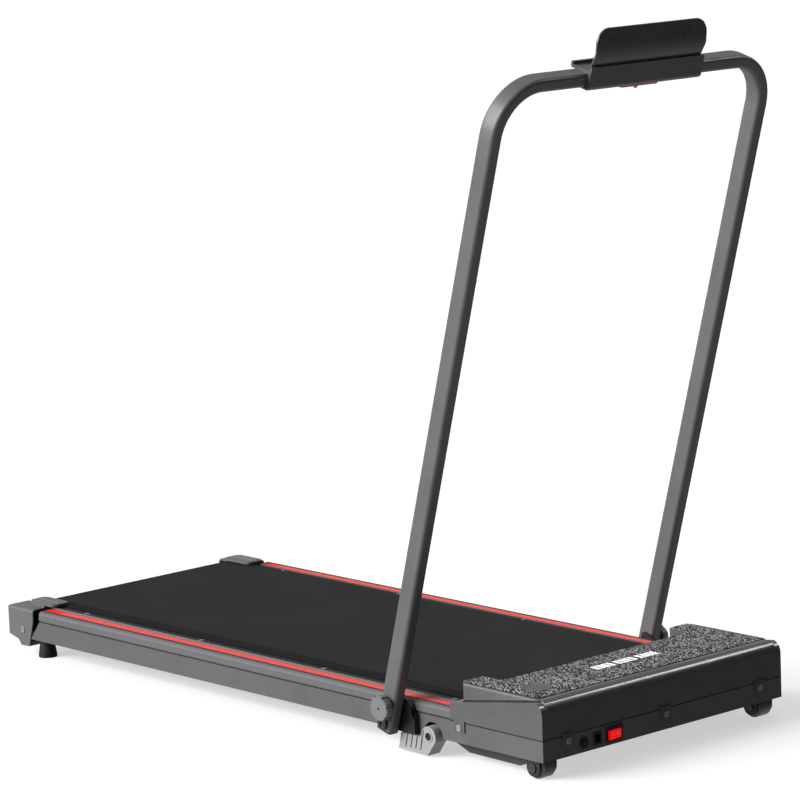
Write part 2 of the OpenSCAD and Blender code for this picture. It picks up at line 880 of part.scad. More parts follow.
// Side outline of a rear cap; t shrinks it to the hollow inside.
module cap_outline(t) {
    open = t > 0 ? over : 0;
    polygon([
        [cap_front - open, cap_top - t], [cap_front - open, seam_z - 1], [1196 - 3 * open, 16 + t],
        [1217 - t / 2, 15.5 + t], [1224, 24.5 + t], [frame_len - 3 - t, 31 + t],
        [frame_len - t, 35 + t], [frame_len - t, cap_top - 4 - t / 2],
        [frame_len - 4 - t / 2, cap_top - t]
    ]);
}

module cap_block(t) {
    intersection() {
        along_x(-side + t, -203 + (t > 0 ? 5 : 0)) cap_outline(t);
        linear_extrude(120) translate([-side + t + 50, frame_len - t - 50]) round_rect(100, 100, 7 - t);
        along_y(0, frame_len + 10) translate([-side + t + 50, cap_top - t - 50]) round_rect(100, 100, 5 - t);
    }
}

module rear_cap() {
    difference() {
        union() {
            difference() {
                union() {
                    cap_block(0);
                    block([-221, cap_front, 70], [-203, 1213, belt_top + 3]);
                }
                cap_block(skin);
            }
            rod_y(frame_len - 8, frame_len - 1, -tension_x, axis_z, 9);
            translate([-205, 1189, belt_top + 1.2]) linear_extrude(4) round_rect(34, 66, 10);
            for (x = [-215, -204])
                rod_y(1164, 1214, x, belt_top + 4.9, 1.3);
        }
        rod_x(-side - over, -side + 6, cap_screw_y, cap_screw_z, 2);
        rod_y(frame_len - 9, frame_len + over, -tension_x, axis_z, 3.2);
        rod_y(frame_len - 5, frame_len + over, -tension_x, axis_z, 6.5);
    }
}

module left_rear_cap() {
    color([0.3, 0.3, 0.31]) to_row() rear_cap();
}

module right_rear_cap() {
    color([0.3, 0.3, 0.31]) to_row() twin() rear_cap();
}

// Bolts that pull the rear axle back to tension and steer the belt.
module tension_bolts() {
    color([0.5, 0.5, 0.52]) to_row() pair() difference() {
        union() {
            rod_y(rear_roller_y - 8, frame_len - 5, -tension_x, axis_z, 3);
            rod_y(frame_len - 5, frame_len - 1, -tension_x, axis_z, 5);
        }
        translate([-tension_x, frame_len, axis_z]) rotate([90, 0, 0]) cylinder(r = 2.5, h = 3.5, $fn = 6);
    }
}

// ---------------------------------------------------------------- handrail

// Steel bracket on the beam: carries the pivot bolt and hooks the stud of the lock knob.
module pivot_bracket() {
    difference() {
        union() {
            block([-bracket_out, 256, beam_bottom + 0.8], [-side, 299, seam_z - 0.3]);
            rod_x(-bracket_out, -side, pivot_y(pivot_h), pivot_z(pivot_h), 13.4);
            translate([0, rail_foot_y, 0]) rotate([lean, 0, 0]) along_x(-bracket_out, -side - 1)
                polygon([[-40, 47], [-40, 62], [-30, 77], [-20, 87], [0, 87], [0, 47]]);
        }
        translate([0, rail_foot_y, 0]) rotate([lean, 0, 0]) {
            rod_x(-bracket_out - over, -side, 0, knob_h, stud_r + gap);
            rod_x(-bracket_out - over, -side + over, 0, pivot_h, bolt_r + fit);
        }
    }
}

module left_pivot_bracket() {
    color([0.06, 0.06, 0.06]) to_row() pivot_bracket();
}

module right_pivot_bracket() {
    color([0.06, 0.06, 0.06]) to_row() twin() pivot_bracket();
}

// Bolts that the handrail folds on, each with its nut inside the beam.
module pivot_bolts() {
    color([0.3, 0.3, 0.31]) to_row() pair() translate([0, pivot_y(pivot_h), pivot_z(pivot_h)]) {
        rod_x(-rail_side - gap, -side + 9, 0, 0, bolt_r);
        rod_x(-side + wall + gap, -side + 8, 0, 0, 8);
        difference() {
            rod_x(-rail_side - gap - 4.5, -rail_side - gap, 0, 0, 8.5);
            rod_x(-rail_side - gap - 6, -rail_side - gap - 2, 0, 0, 4);
        }
    }
}

module tube_section(inset) {
    round_rect(tube_x - 2 * inset, tube_y - 2 * inset, 5.5 - inset);
}

// Path of the tube as a solid: two uprights, two bends and the crossbar.
module tube_run(inset) {
    bend_x = rail_side - tube_x / 2 - bend_r;
    bend_h = crossbar_h - bend_r;
    pair() {
        translate([-rail_side + tube_x / 2, 0, tube_foot_h - (inset > 0 ? over : 0)])
            linear_extrude(bend_h - tube_foot_h + (inset > 0 ? over : 0)) tube_section(inset);
        translate([-bend_x, 0, bend_h]) rotate([90, 0, 0]) rotate([0, 0, 90])
            rotate_extrude(angle = 90, $fn = 96) translate([bend_r, 0]) tube_section(inset);
    }
    translate([-bend_x, 0, crossbar_h]) rotate([90, 0, 90])
        linear_extrude(2 * bend_x) round_rect(tube_y - 2 * inset, tube_x - 2 * inset, 5.5 - inset);
}

module handrail_tube() {
    color([0.22, 0.22, 0.23]) on_slope() difference() {
        tube_run(0);
        tube_run(1.5);
        pair() {
            rod_x(-rail_side - over, -tube_in + over, 0, pivot_h, bolt_r + fit);
            rod_x(-rail_side - over, -tube_in + over, 0, knob_h, stud_r + fit);
        }
        for (x = [-80, 80])
            translate([x, -6, crossbar_h - tube_x]) cylinder(r = 2, h = tube_x);
    }
}

module tube_end_plugs() {
    color([0.07, 0.07, 0.07]) on_slope() pair() translate([-rail_side + tube_x / 2, 0, tube_foot_h]) {
        translate([0, 0, -2]) linear_extrude(2) tube_section(0);
        translate([0, 0, -3]) linear_extrude(1) tube_section(1);
        linear_extrude(5) tube_section(1.7);
    }
}

// Notched lock knob with the stud that clamps the upright to its bracket.
module lock_knob() {
    notches = 7;
    notch_at = 19.4;
    difference() {
        union() {
            rod_x(-rail_side - 5.4, -rail_side - gap, 0, knob_h, 9);
            rod_x(-rail_side - 14.8, -rail_side - 5.4, 0, knob_h, 18.8);
            rod_x(-rail_side - 16, -rail_side - 14.8, 0, knob_h, 17.6);
            rod_x(-rail_side - 6, -side - 2.5, 0, knob_h, stud_r);
        }
        rod_x(-rail_side - 17, -rail_side - 13.6, 0, knob_h, 2);
        for (a = [0 : 360 / notches : 359])
            rod_x(-rail_side - 17, -rail_side - 5, notch_at * cos(a), knob_h + notch_at * sin(a), 2.6);
    }
}

module left_lock_knob() {
    color([0.45, 0.45, 0.47]) on_slope() lock_knob();
}

module right_lock_knob() {
    color([0.45, 0.45, 0.47]) on_slope() twin() lock_knob();
}

// Holder clipped round the crossbar from the front, with a tray on top for a phone.
module console_body() {
    half = console_w / 2;
    color([0.08, 0.08, 0.09]) on_slope() difference() {
        along_x(-half, half) difference() {
            union() {
                translate([console_front + 7, console_bottom]) square([17, 10]);
                translate([console_front + 7, console_bottom + 7]) circle(r = 7);
                translate([console_front, console_bottom + 7]) square([12, console_top - console_bottom - 7]);
                translate([console_front, rail_h - 2]) square([40, console_floor - rail_h + 2]);
                translate([16, rail_h + 2]) square([4, console_floor - rail_h + 1.8]);
            }
            translate([0, crossbar_h]) round_rect(tube_y + 0.4, tube_x + 0.4, 5.5);
            translate([-15.2, crossbar_h - 9.9]) square([80, 19.9]);
            translate([-16.8, console_floor]) square([32.8, 20]);
        }
        for (x = [-80, 80])
            translate([x, -6, console_bottom - over]) cylinder(r = 2.2, h = 10);
        for (s = [-1, 1])
            translate([s * (half + 1), console_front - over, console_bottom - 1]) rotate([0, 45, 0])
                cube([7, 80, 7], center = true);
    }
}

// Bent plate that a phone leans on, with round top corners.
module phone_plate() {
    half = plate_w / 2;
    color([0.1, 0.1, 0.11]) on_slope() intersection() {
        along_x(-half, half) polygon([
            [-16.7, console_floor], [-16.7, console_top + 1], [-22, console_top + 19],
            [plate_top_y, plate_top_h], [plate_top_y + 3, plate_top_h], [-19, console_top + 19.4],
            [-13.7, console_top + 0.6], [-13.7, console_floor]
        ]);
        translate([0, 50, plate_top_h - 100]) rotate([90, 0, 0]) linear_extrude(100)
            round_rect(plate_w, 200, 22);
    }
}

// Screws up through the holder into the crossbar.
module console_screws() {
    color([0.3, 0.3, 0.31]) on_slope()
        for (x = [-80, 80])
            translate([x, -6, console_bottom]) {
                cylinder(r = 1.95, h = 12);
                translate([0, 0, -1.8]) cylinder(r = 4, h = 1.8);
            }
}

// Magnetic stop key under the holder, with a ring for a cord.
module safety_key() {
    color([0.8, 0.05, 0.07]) on_slope() translate([0, -4, console_bottom - gap]) {
        translate([0, 0, -3.6]) linear_extrude(3.6) round_rect(76, 15, 5);
        translate([0, 1.2, -6.2]) rotate([90, 0, 0]) linear_extrude(2.4) difference() {
            circle(r = 3.4);
            circle(r = 1.8);
        }
    }
}

// ---------------------------------------------------------------- incline feet

// Side outline of an incline foot in its stowed place.
module foot_outline() {
    translate([foot_y, foot_z]) circle(r = foot_r);
    polygon([
        [foot_y - 13.8, foot_z - 6], [foot_y + 3, 2.2], [foot_y + 65, 3.8],
        [foot_y + 58.5, beam_bottom - 0.8], [foot_y, beam_bottom - 0.8]
    ]);
}

module incline_foot() {
    slot = 2.4;
    difference() {
        union() {
            along_x(-foot_out, -foot_in - wall - gap) foot_outline();
            rod_x(-foot_out - 0.8, -foot_out + 1, foot_y, foot_z, 8.5);
        }
        rod_x(-side - 20, -foot_in, foot_y, foot_z, pin_r + fit);
        rod_x(-side - 20, -foot_out + 3.4, foot_y, foot_z, 6);
        for (i = [0 : 3])
            translate([0, foot_y + 20 + i * 10.5, 0]) rotate([14, 0, 0])
                block([-foot_out - over, -slot / 2, 9], [-foot_out + 3.5, slot / 2, 40]);
    }
}

module left_incline_foot() {
    color([0.5, 0.5, 0.52]) to_row() incline_foot();
}

module right_incline_foot() {
    color([0.5, 0.5, 0.52]) to_row() twin() incline_foot();
}

module foot_pins() {
    color([0.12, 0.12, 0.12]) to_row() pair() {
        rod_x(-foot_out + 3.4 + gap, -beam_in, foot_y, foot_z, pin_r);
        rod_x(-foot_out + 1, -foot_out + 3.1, foot_y, foot_z, 5.7);
        rod_x(-foot_out + 3, -foot_out + 4, foot_y, foot_z, pin_r);
    }
}

left_beam();
right_beam();
cross_members();
front_panel();
left_rail();
right_rail();
left_rail_strip();
right_rail_strip();
deck_board();
deck_cushions();
running_belt();
roller_axles();
roller_bearings();
front_roller();
rear_roller();
roller_pulley();
drive_belt();
motor_housing();
motor_end_cap();
motor_mount();
motor_shaft();
motor_pulley();
control_board();
heat_sink();
belly_pan();
hood_cover();
hood_panel();
display_board();
speaker();
speaker_grille();
power_inlet();
breaker_body();
breaker_button();
switch_housing();
switch_rocker();
case_screws();
left_wheel_fork();
right_wheel_fork();
wheel_axles();
left_wheel();
right_wheel();
left_rear_cap();
right_rear_cap();
tension_bolts();
rear_feet();
left_pivot_bracket();
right_pivot_bracket();
pivot_bolts();
handrail_tube();
tube_end_plugs();
left_lock_knob();
right_lock_knob();
console_body();
phone_plate();
console_screws();
safety_key();
left_incline_foot();
right_incline_foot();
foot_pins();
deck_screws();
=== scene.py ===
"""Looks of the folding walking pad: materials, fine detail, floor, light and camera."""
import bmesh
import bpy
import json
import math
from mathutils import Matrix, Vector


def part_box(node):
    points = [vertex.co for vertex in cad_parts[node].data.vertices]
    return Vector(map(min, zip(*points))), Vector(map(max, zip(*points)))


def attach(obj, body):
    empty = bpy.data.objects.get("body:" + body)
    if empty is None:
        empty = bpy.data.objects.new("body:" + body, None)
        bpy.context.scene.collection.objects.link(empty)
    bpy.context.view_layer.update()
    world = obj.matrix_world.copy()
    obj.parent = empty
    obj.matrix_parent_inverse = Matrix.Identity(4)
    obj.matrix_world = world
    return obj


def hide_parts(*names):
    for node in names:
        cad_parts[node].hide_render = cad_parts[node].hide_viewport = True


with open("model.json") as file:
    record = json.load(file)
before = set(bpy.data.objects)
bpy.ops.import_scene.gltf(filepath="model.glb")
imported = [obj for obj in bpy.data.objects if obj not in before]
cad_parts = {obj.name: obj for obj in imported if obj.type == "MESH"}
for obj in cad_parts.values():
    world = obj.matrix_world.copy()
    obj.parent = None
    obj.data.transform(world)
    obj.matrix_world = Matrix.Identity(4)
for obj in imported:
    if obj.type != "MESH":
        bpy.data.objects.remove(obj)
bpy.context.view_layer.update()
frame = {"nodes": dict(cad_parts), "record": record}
nodes = frame["nodes"]
record = frame["record"]
body_of_node = {n: b for b, members in record["behaviour"]["bodies"].items() for n in members}


# ---------------------------------------------------------------- material building blocks

def start(name, roughness, metallic=0.0, **sockets):
    """A new material; sockets are constants of the Principled shader."""
    material = bpy.data.materials.new(name)
    material.use_nodes = True
    shader = shader_of(material)
    shader.inputs["Roughness"].default_value = roughness
    shader.inputs["Metallic"].default_value = metallic
    for key, value in sockets.items():
        shader.inputs[key.replace("_", " ").title().replace("Ior", "IOR")].default_value = value
    return material


def shader_of(material):
    return material.node_tree.nodes["Principled BSDF"]


def add(material, kind, **settings):
    node = material.node_tree.nodes.new(kind)
    for key, value in settings.items():
        setattr(node, key, value)
    return node


def join(material, source, target):
    material.node_tree.links.new(source, target)


def place(material, stretch=(1, 1, 1)):
    """The point on the surface in the row frame, in metres, stretched along each axis."""
    coordinate = add(material, "ShaderNodeTexCoord")
    mapping = add(material, "ShaderNodeMapping")
    mapping.inputs["Scale"].default_value = stretch
    join(material, coordinate.outputs["Object"], mapping.inputs["Vector"])
    return mapping.outputs["Vector"]


def noise(material, scale, detail=3.0, stretch=(1, 1, 1)):
    texture = add(material, "ShaderNodeTexNoise")
    texture.inputs["Scale"].default_value = scale
    texture.inputs["Detail"].default_value = detail
    join(material, place(material, stretch), texture.inputs["Vector"])
    return texture.outputs["Fac"]


def maths(material, operation, a, b=0.0, clamp=False):
    node = add(material, "ShaderNodeMath", operation=operation, use_clamp=clamp)
    for socket, value in zip(node.inputs, (a, b)):
        if isinstance(value, (int, float)):
            socket.default_value = value
        else:
            join(material, value, socket)
    return node.outputs["Value"]


def ramp(material, factor, stops, sharp=False):
    """A colour that follows factor through stops of (place, colour)."""
    node = add(material, "ShaderNodeValToRGB")
    if sharp:
        node.color_ramp.interpolation = "CONSTANT"
    elements = node.color_ramp.elements
    while len(elements) < len(stops):
        elements.new(0.5)
    for element, (position, colour) in zip(elements, stops):
        element.position = position
        element.color = (*colour, 1)
    join(material, factor, node.inputs["Fac"])
    return node.outputs["Color"]


def colour_by(material, factor, dark, light, low=0.3, high=0.7):
    colour = ramp(material, factor, [(low, dark), (high, light)])
    join(material, colour, shader_of(material).inputs["Base Color"])


def roughness_by(material, factor, low, high):
    node = add(material, "ShaderNodeMapRange")
    node.inputs["From Min"].default_value = 0.3
    node.inputs["From Max"].default_value = 0.7
    node.inputs["To Min"].default_value = low
    node.inputs["To Max"].default_value = high
    join(material, factor, node.inputs["Value"])
    join(material, node.outputs["Result"], shader_of(material).inputs["Roughness"])


def relief(material, *layers):
    """Bump from layers of (height, strength, depth in metres), each on top of the last."""
    normal = None
    for height, strength, depth in layers:
        node = add(material, "ShaderNodeBump")
        node.inputs["Strength"].default_value = strength
        node.inputs["Distance"].default_value = depth
        join(material, height, node.inputs["Height"])
        if normal:
            join(material, normal, node.inputs["Normal"])
        normal = node.outputs["Normal"]
    join(material, normal, shader_of(material).inputs["Normal"])


def shades(colour, spread):
    """A darker and a lighter version of a colour."""
    return tuple(c * (1 - spread) for c in colour), tuple(c * (1 + spread) for c in colour)


# ---------------------------------------------------------------- the materials

def painted(name, colour, roughness=0.38):
    """Powder-coated steel: faint orange peel and a slow drift in colour and gloss."""
    material = start(name, roughness)
    drift = noise(material, 14, 4)
    colour_by(material, drift, *shades(colour, 0.08))
    roughness_by(material, noise(material, 60, 3), roughness - 0.05, roughness + 0.07)
    relief(material, (noise(material, 700, 2), 0.12, 0.0003), (noise(material, 2600, 2), 0.08, 0.0001))
    return material


def moulded(name, colour, roughness=0.5, grain=0.25, spread=0.07):
    """Injection-moulded plastic with a fine spark-eroded grain."""
    material = start(name, roughness)
    colour_by(material, noise(material, 25, 4), *shades(colour, spread))
    roughness_by(material, noise(material, 110, 3), roughness - 0.06, roughness + 0.08)
    relief(material, (noise(material, 1500, 3), grain, 0.0002))
    return material


def glossy(name, colour, roughness=0.22):
    """Shiny moulded plastic with very slight sink and haze."""
    material = start(name, roughness, coat_weight=0.5, coat_roughness=0.07)
    colour_by(material, noise(material, 18, 4), *shades(colour, 0.06))
    roughness_by(material, noise(material, 45, 4), roughness - 0.04, roughness + 0.06)
    relief(material, (noise(material, 9, 2), 0.05, 0.002), (noise(material, 1800, 2), 0.04, 0.0001))
    return material


def metal(name, colour, roughness, stretch):
    """Machined or drawn metal with fine lines; stretch is small along the lines."""
    material = start(name, roughness, 1.0)
    lines = noise(material, 900, 4, stretch)
    colour_by(material, lines, *shades(colour, 0.15))
    roughness_by(material, lines, roughness - 0.08, roughness + 0.12)
    relief(material, (lines, 0.15, 0.0001), (noise(material, 120, 3), 0.05, 0.0003))
    return material


def rubber(name, colour, roughness=0.75):
    material = start(name, roughness)
    colour_by(material, noise(material, 40, 5), *shades(colour, 0.2))
    roughness_by(material, noise(material, 200, 3), roughness - 0.08, roughness + 0.08)
    relief(material, (noise(material, 1100, 4), 0.4, 0.0002))
    return material


def anodised(name, colour):
    """Extruded aluminium, bead-blasted and anodised, with die lines along its length."""
    material = start(name, 0.55, 0.0, specular_ior_level=0.35)
    lines = noise(material, 1400, 3, (1, 0.004, 1))
    colour_by(material, lines, *shades(colour, 0.1))
    roughness_by(material, noise(material, 300, 3), 0.5, 0.62)
    relief(material, (lines, 0.2, 0.0001), (noise(material, 2400, 2), 0.12, 0.0001))
    return material


def belt_material(name):
    """Tread belt: fine pressed diamonds in dusty dark rubber, with a painted shadow band along its left edge.
    """
    material = start(name, 0.7, specular_ior_level=0.18)
    point = add(material, "ShaderNodeSeparateXYZ")
    join(material, place(material), point.inputs["Vector"])
    # Painted shadow: the belt turns black in a band along its left edge, where the near rail's shadow falls.
    shadow_band_width, shadow_fade_width = 0.023, 0.003
    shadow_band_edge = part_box("running_belt")[0].x + shadow_band_width
    past_shadow_band = maths(material, "SUBTRACT", point.outputs["X"], shadow_band_edge)
    inner = maths(material, "DIVIDE", past_shadow_band, shadow_fade_width, True)
    dust = maths(material, "MULTIPLY", noise(material, 9, 6), 0.6)
    speck = noise(material, 1600, 2)
    mixed = maths(material, "ADD", dust, maths(material, "MULTIPLY", speck, 0.4))
    colour = ramp(material, maths(material, "MULTIPLY", mixed, inner),
                  [(0.05, (0.0006, 0.0006, 0.0006)), (0.35, (0.0085, 0.0085, 0.009)),
                   (0.65, (0.015, 0.015, 0.0155))])
    join(material, colour, shader_of(material).inputs["Base Color"])
    spacing = 0.0024
    bands_per_metre = 3.2  # of the wave texture at a scale of 1
    heights = []
    for turn in (45, -45):
        wave = add(material, "ShaderNodeTexWave", wave_type="BANDS", bands_direction="X")
        wave.inputs["Scale"].default_value = 1 / spacing / bands_per_metre
        mapping = add(material, "ShaderNodeMapping")
        mapping.inputs["Rotation"].default_value = (0, 0, math.radians(turn))
        join(material, place(material), mapping.inputs["Vector"])
        join(material, mapping.outputs["Vector"], wave.inputs["Vector"])
        heights.append(wave.outputs["Fac"])
    diamonds = maths(material, "MULTIPLY", *heights)
    relief(material, (diamonds, 0.35, 0.0004), (speck, 0.3, 0.0002))
    return material


def strip_material(name):
    """Ribbed insert: red between two dark lines, with painted shade in a deeper red at its rear end.

    The first half of the ramp colours the strip across its width, the second half its rear end in painted
    shade."""
    material = start(name, 0.55, specular_ior_level=0.4)
    position = add(material, "ShaderNodeSeparateXYZ")
    join(material, place(material), position.inputs["Vector"])
    across = maths(material, "ABSOLUTE", position.outputs["X"])
    low, high = (abs(c) for c in sorted((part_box("right_rail_strip")[0].x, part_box("right_rail_strip")[1].x)))
    share = maths(material, "DIVIDE", maths(material, "SUBTRACT", across, low), high - low, clamp=True)
    teal = (0.012, 0.035, 0.04)
    red = (0.86, 0.085, 0.07)
    # Painted shade: the rear end of the strip takes this deeper, purer red.
    bright = (1.0, 0.012, 0.001)
    rear_shade_length = 0.040
    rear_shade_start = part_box("right_rail_strip")[1].y - rear_shade_length
    at_rear = maths(material, "GREATER_THAN", position.outputs["Y"], rear_shade_start)
    half_share = maths(material, "MULTIPLY", share, 0.5)
    ramp_place = maths(material, "ADD", half_share, maths(material, "MULTIPLY", at_rear, 0.5))
    stops = [(0, teal), (0.035, red), (0.44, teal), (0.535, bright), (0.94, teal)]
    colour = ramp(material, ramp_place, stops, True)
    join(material, colour, shader_of(material).inputs["Base Color"])
    relief(material, (noise(material, 1500, 3), 0.35, 0.0002))
    return material


def film_material(name):
    """Printed film: a lattice of slender triangles in random greys under a satin surface."""
    material = start(name, 0.5, specular_ior_level=0.25)
    width, length, turn = 0.0022, 0.0075, math.radians(-42)
    across = (math.cos(turn) / width, math.sin(turn) / width)
    along = (-math.sin(turn) / length, math.cos(turn) / length)
    slanted = (across[0] + along[0], across[1] + along[1])
    point = add(material, "ShaderNodeSeparateXYZ")
    join(material, place(material), point.inputs["Vector"])
    cell = add(material, "ShaderNodeCombineXYZ")
    for (x_share, y_share), socket in zip((across, along, slanted), cell.inputs):
        step = maths(material, "ADD", maths(material, "MULTIPLY", point.outputs["X"], x_share),
                     maths(material, "MULTIPLY", point.outputs["Y"], y_share))
        join(material, maths(material, "FLOOR", step), socket)
    white = add(material, "ShaderNodeTexWhiteNoise", noise_dimensions="3D")
    join(material, cell.outputs["Vector"], white.inputs["Vector"])
    colour = ramp(material, white.outputs["Value"],
                  [(0, (0.003, 0.003, 0.003)), (0.38, (0.03, 0.03, 0.031)), (0.52, (0.14, 0.14, 0.143)),
                   (0.72, (0.42, 0.42, 0.425))], True)
    join(material, colour, shader_of(material).inputs["Base Color"])
    relief(material, (white.outputs["Value"], 0.1, 0.00005), (noise(material, 900, 2), 0.1, 0.0001))
    return material


def deck_material(name):
    return moulded(name, (0.004, 0.004, 0.004), 0.6, 0.3)


def winding_material(name):
    """Armature: laminated steel with copper windings, seen as lines round the shaft."""
    material = start(name, 0.35, 1.0)
    lines = noise(material, 1300, 2, (1, 0.01, 0.01))
    colour_by(material, lines, (0.30, 0.13, 0.06), (0.62, 0.36, 0.2))
    relief(material, (lines, 0.4, 0.0002))
    return material


def lit_red(name):
    """Clear red rocker with a lamp behind it."""
    material = glossy(name, (0.85, 0.004, 0.004), 0.25)
    shader_of(material).inputs["Emission Color"].default_value = (1, 0.002, 0.004, 1)
    shader_of(material).inputs["Emission Strength"].default_value = 0.7
    return material


def circuit_material(name):
    """Solder-masked board with darker tracks."""
    material = start(name, 0.35)
    cells = add(material, "ShaderNodeTexVoronoi", distance="MANHATTAN", feature="DISTANCE_TO_EDGE")
    cells.inputs["Scale"].default_value = 160
    join(material, place(material), cells.inputs["Vector"])
    colour_by(material, cells.outputs["Distance"], (0.008, 0.05, 0.025), (0.02, 0.16, 0.07), 0.02, 0.08)
    relief(material, (cells.outputs["Distance"], 0.3, 0.0002))
    return material


PAINT = (0.115, 0.115, 0.12)
MATERIALS = {
    "frame_paint": lambda n: painted(n, PAINT),
    "inner_steel": lambda n: painted(n, (0.02, 0.02, 0.021), 0.45),
    "rail_alu": lambda n: anodised(n, (0.128, 0.128, 0.134)),
    "strip_red": strip_material,
    "deck": deck_material,
    "cushion": lambda n: rubber(n, (0.02, 0.02, 0.02)),
    "belt": belt_material,
    "bright_steel": lambda n: metal(n, (0.6, 0.6, 0.62), 0.3, (0.02, 1, 1)),
    "dark_steel": lambda n: metal(n, (0.12, 0.12, 0.125), 0.42, (1, 0.2, 0.2)),
    "band": lambda n: rubber(n, (0.015, 0.015, 0.015)),
    "motor_paint": lambda n: painted(n, (0.03, 0.03, 0.032), 0.35),
    "cast_alu": lambda n: metal(n, (0.5, 0.5, 0.52), 0.5, (1, 1, 1)),
    "circuit": circuit_material,
    "copper": winding_material,
    "pan": lambda n: painted(n, (0.045, 0.045, 0.047), 0.45),
    "hood": lambda n: glossy(n, (0.108, 0.108, 0.113), 0.3),
    "film": film_material,
    "display": lambda n: moulded(n, (0.5, 0.5, 0.5), 0.4),
    "black_plastic": lambda n: moulded(n, (0.014, 0.014, 0.015), 0.42),
    "grille": lambda n: moulded(n, (0.10, 0.10, 0.103), 0.4),
    "switch_red": lit_red,
    "wheel": lambda n: moulded(n, (0.13, 0.13, 0.133), 0.45),
    "cap": lambda n: moulded(n, (0.135, 0.135, 0.14), 0.42),
    "foot_rubber": lambda n: rubber(n, (0.002, 0.002, 0.002)),
    "rail_paint": lambda n: painted(n, (0.12, 0.12, 0.125), 0.4),
    "knob": lambda n: moulded(n, (0.185, 0.185, 0.19), 0.45),
    "console": lambda n: moulded(n, (0.078, 0.078, 0.081), 0.3, 0.1, 0.03),
    # The brackets' near-black is partly their black paint and partly painted shade, for the shadow of the
    # upright that falls on them.
    "bracket_black": lambda n: painted(n, (0.008, 0.008, 0.008), 0.5),
    "key_red": lambda n: glossy(n, (0.7, 0.01, 0.015), 0.3),
    "foot_grey": lambda n: moulded(n, (0.36, 0.36, 0.365), 0.5),
    "screw": lambda n: painted(n, (0.34, 0.34, 0.345), 0.3),
}


def dress_nodes():
    """Gives each node the material of its slot and returns the materials by slot."""
    made = {name: build(name) for name, build in MATERIALS.items()}
    for entry in record["subparts"]:
        mesh = nodes[entry["node"]].data
        mesh.materials.clear()
        mesh.materials.append(made[entry["material_slot"]])
    return made


# ---------------------------------------------------------------- softened edges

def weight_normals(mesh, alike):
    """Shades each corner by the faces round it that point alike, the large ones counting most."""
    faces_at = [[] for _ in mesh.vertices]
    for polygon in mesh.polygons:
        polygon.use_smooth = True
        for index in polygon.vertices:
            faces_at[index].append(polygon)
    normals = []
    for polygon in mesh.polygons:
        for index in polygon.vertices:
            total = Vector((0, 0, 0))
            for other in faces_at[index]:
                if polygon.normal.dot(other.normal) > alike:
                    total += other.normal * other.area
            normals.append(total.normalized() if total.length > 0 else polygon.normal.copy())
    mesh.normals_split_custom_set(normals)


def softened(node, width, angle=38):
    """Replaces a node by the same shape with its sharp edges rounded to width, in metres."""
    source = nodes[node]
    mesh = source.data.copy()
    shell = bmesh.new()
    shell.from_mesh(mesh)
    bmesh.ops.remove_doubles(shell, verts=shell.verts, dist=1e-6)
    bmesh.ops.dissolve_limit(shell, angle_limit=math.radians(0.5), verts=shell.verts, edges=shell.edges)
    sharp = [e for e in shell.edges if len(e.link_faces) == 2
             and e.calc_face_angle(0) > math.radians(angle) and e.calc_length() > width * 0.2]
    bmesh.ops.bevel(shell, geom=sharp, offset=width, segments=2, profile=0.6, affect="EDGES",
                    clamp_overlap=True)
    shell.to_mesh(mesh)
    shell.free()
    mesh.validate()
    weight_normals(mesh, math.cos(math.radians(40)))
    piece = bpy.data.objects.new(node + "_soft", mesh)
    bpy.context.scene.collection.objects.link(piece)
    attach(piece, body_of_node[node])
    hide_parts(node)


SOFTENED = {
    "hood_cover": 0.0010, "left_rear_cap": 0.0009, "right_rear_cap": 0.0009, "phone_plate": 0.0007,
    "console_body": 0.0008, "left_lock_knob": 0.0010, "right_lock_knob": 0.0010,
    "left_incline_foot": 0.0007, "right_incline_foot": 0.0007, "left_wheel": 0.0008,
    "right_wheel": 0.0008, "safety_key": 0.0006, "switch_rocker": 0.0004, "switch_housing": 0.0005,
    "left_pivot_bracket": 0.0006, "right_pivot_bracket": 0.0006, "tube_end_plugs": 0.0004,
    "front_panel": 0.0005, "left_beam": 0.0006, "right_beam": 0.0006, "case_screws": 0.0004,
    "hood_panel": 0.0002,
}


# ---------------------------------------------------------------- flat pieces

def flat_piece(name, faces, node, material):
    """A thin piece from flat outlines, riding with the body of node."""
    mesh = bpy.data.meshes.new(name)
    vertices = [v for face in faces for v in face]
    count = 0
    polygons = []
    for face in faces:
        polygons.append(tuple(range(count, count + len(face))))
        count += len(face)
    mesh.from_pydata(vertices, [], polygons)
    mesh.materials.append(material)
    piece = bpy.data.objects.new(name, mesh)
    bpy.context.scene.collection.objects.link(piece)
    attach(piece, body_of_node[node])


def upright_face(x, y0, y1, z0, z1):
    """A rectangle that faces left and right."""
    return [(x, y0, z0), (x, y1, z0), (x, y1, z1), (x, y0, z1)]


def flat_box(x0, y0, x1, y1, level):
    """A rectangle that lies level."""
    return [(x0, y0, level), (x1, y0, level), (x1, y1, level), (x0, y1, level)]


# ---------------------------------------------------------------- display

def clip(points, inside, cut):
    """Clips a convex outline against one half plane."""
    result = []
    for first, second in zip(points, points[1:] + points[:1]):
        if inside(first):
            result.append(first)
        if inside(first) != inside(second):
            result.append(cut(first, second))
    return result


def stripe_in_box(low, high, start_at, width):
    """The part of a slanted stripe that lies in a box, in x and y."""
    outline = [(low[0], low[1]), (high[0], low[1]), (high[0], high[1]), (low[0], high[1])]
    for sign, limit in ((1, start_at), (-1, -start_at - width)):
        def value(p):
            return sign * (p[0] + p[1]) - limit

        def cut(a, b):
            share = value(a) / (value(a) - value(b))
            return (a[0] + (b[0] - a[0]) * share, a[1] + (b[1] - a[1]) * share)
        outline = clip(outline, lambda p: value(p) >= 0, cut)
    return outline


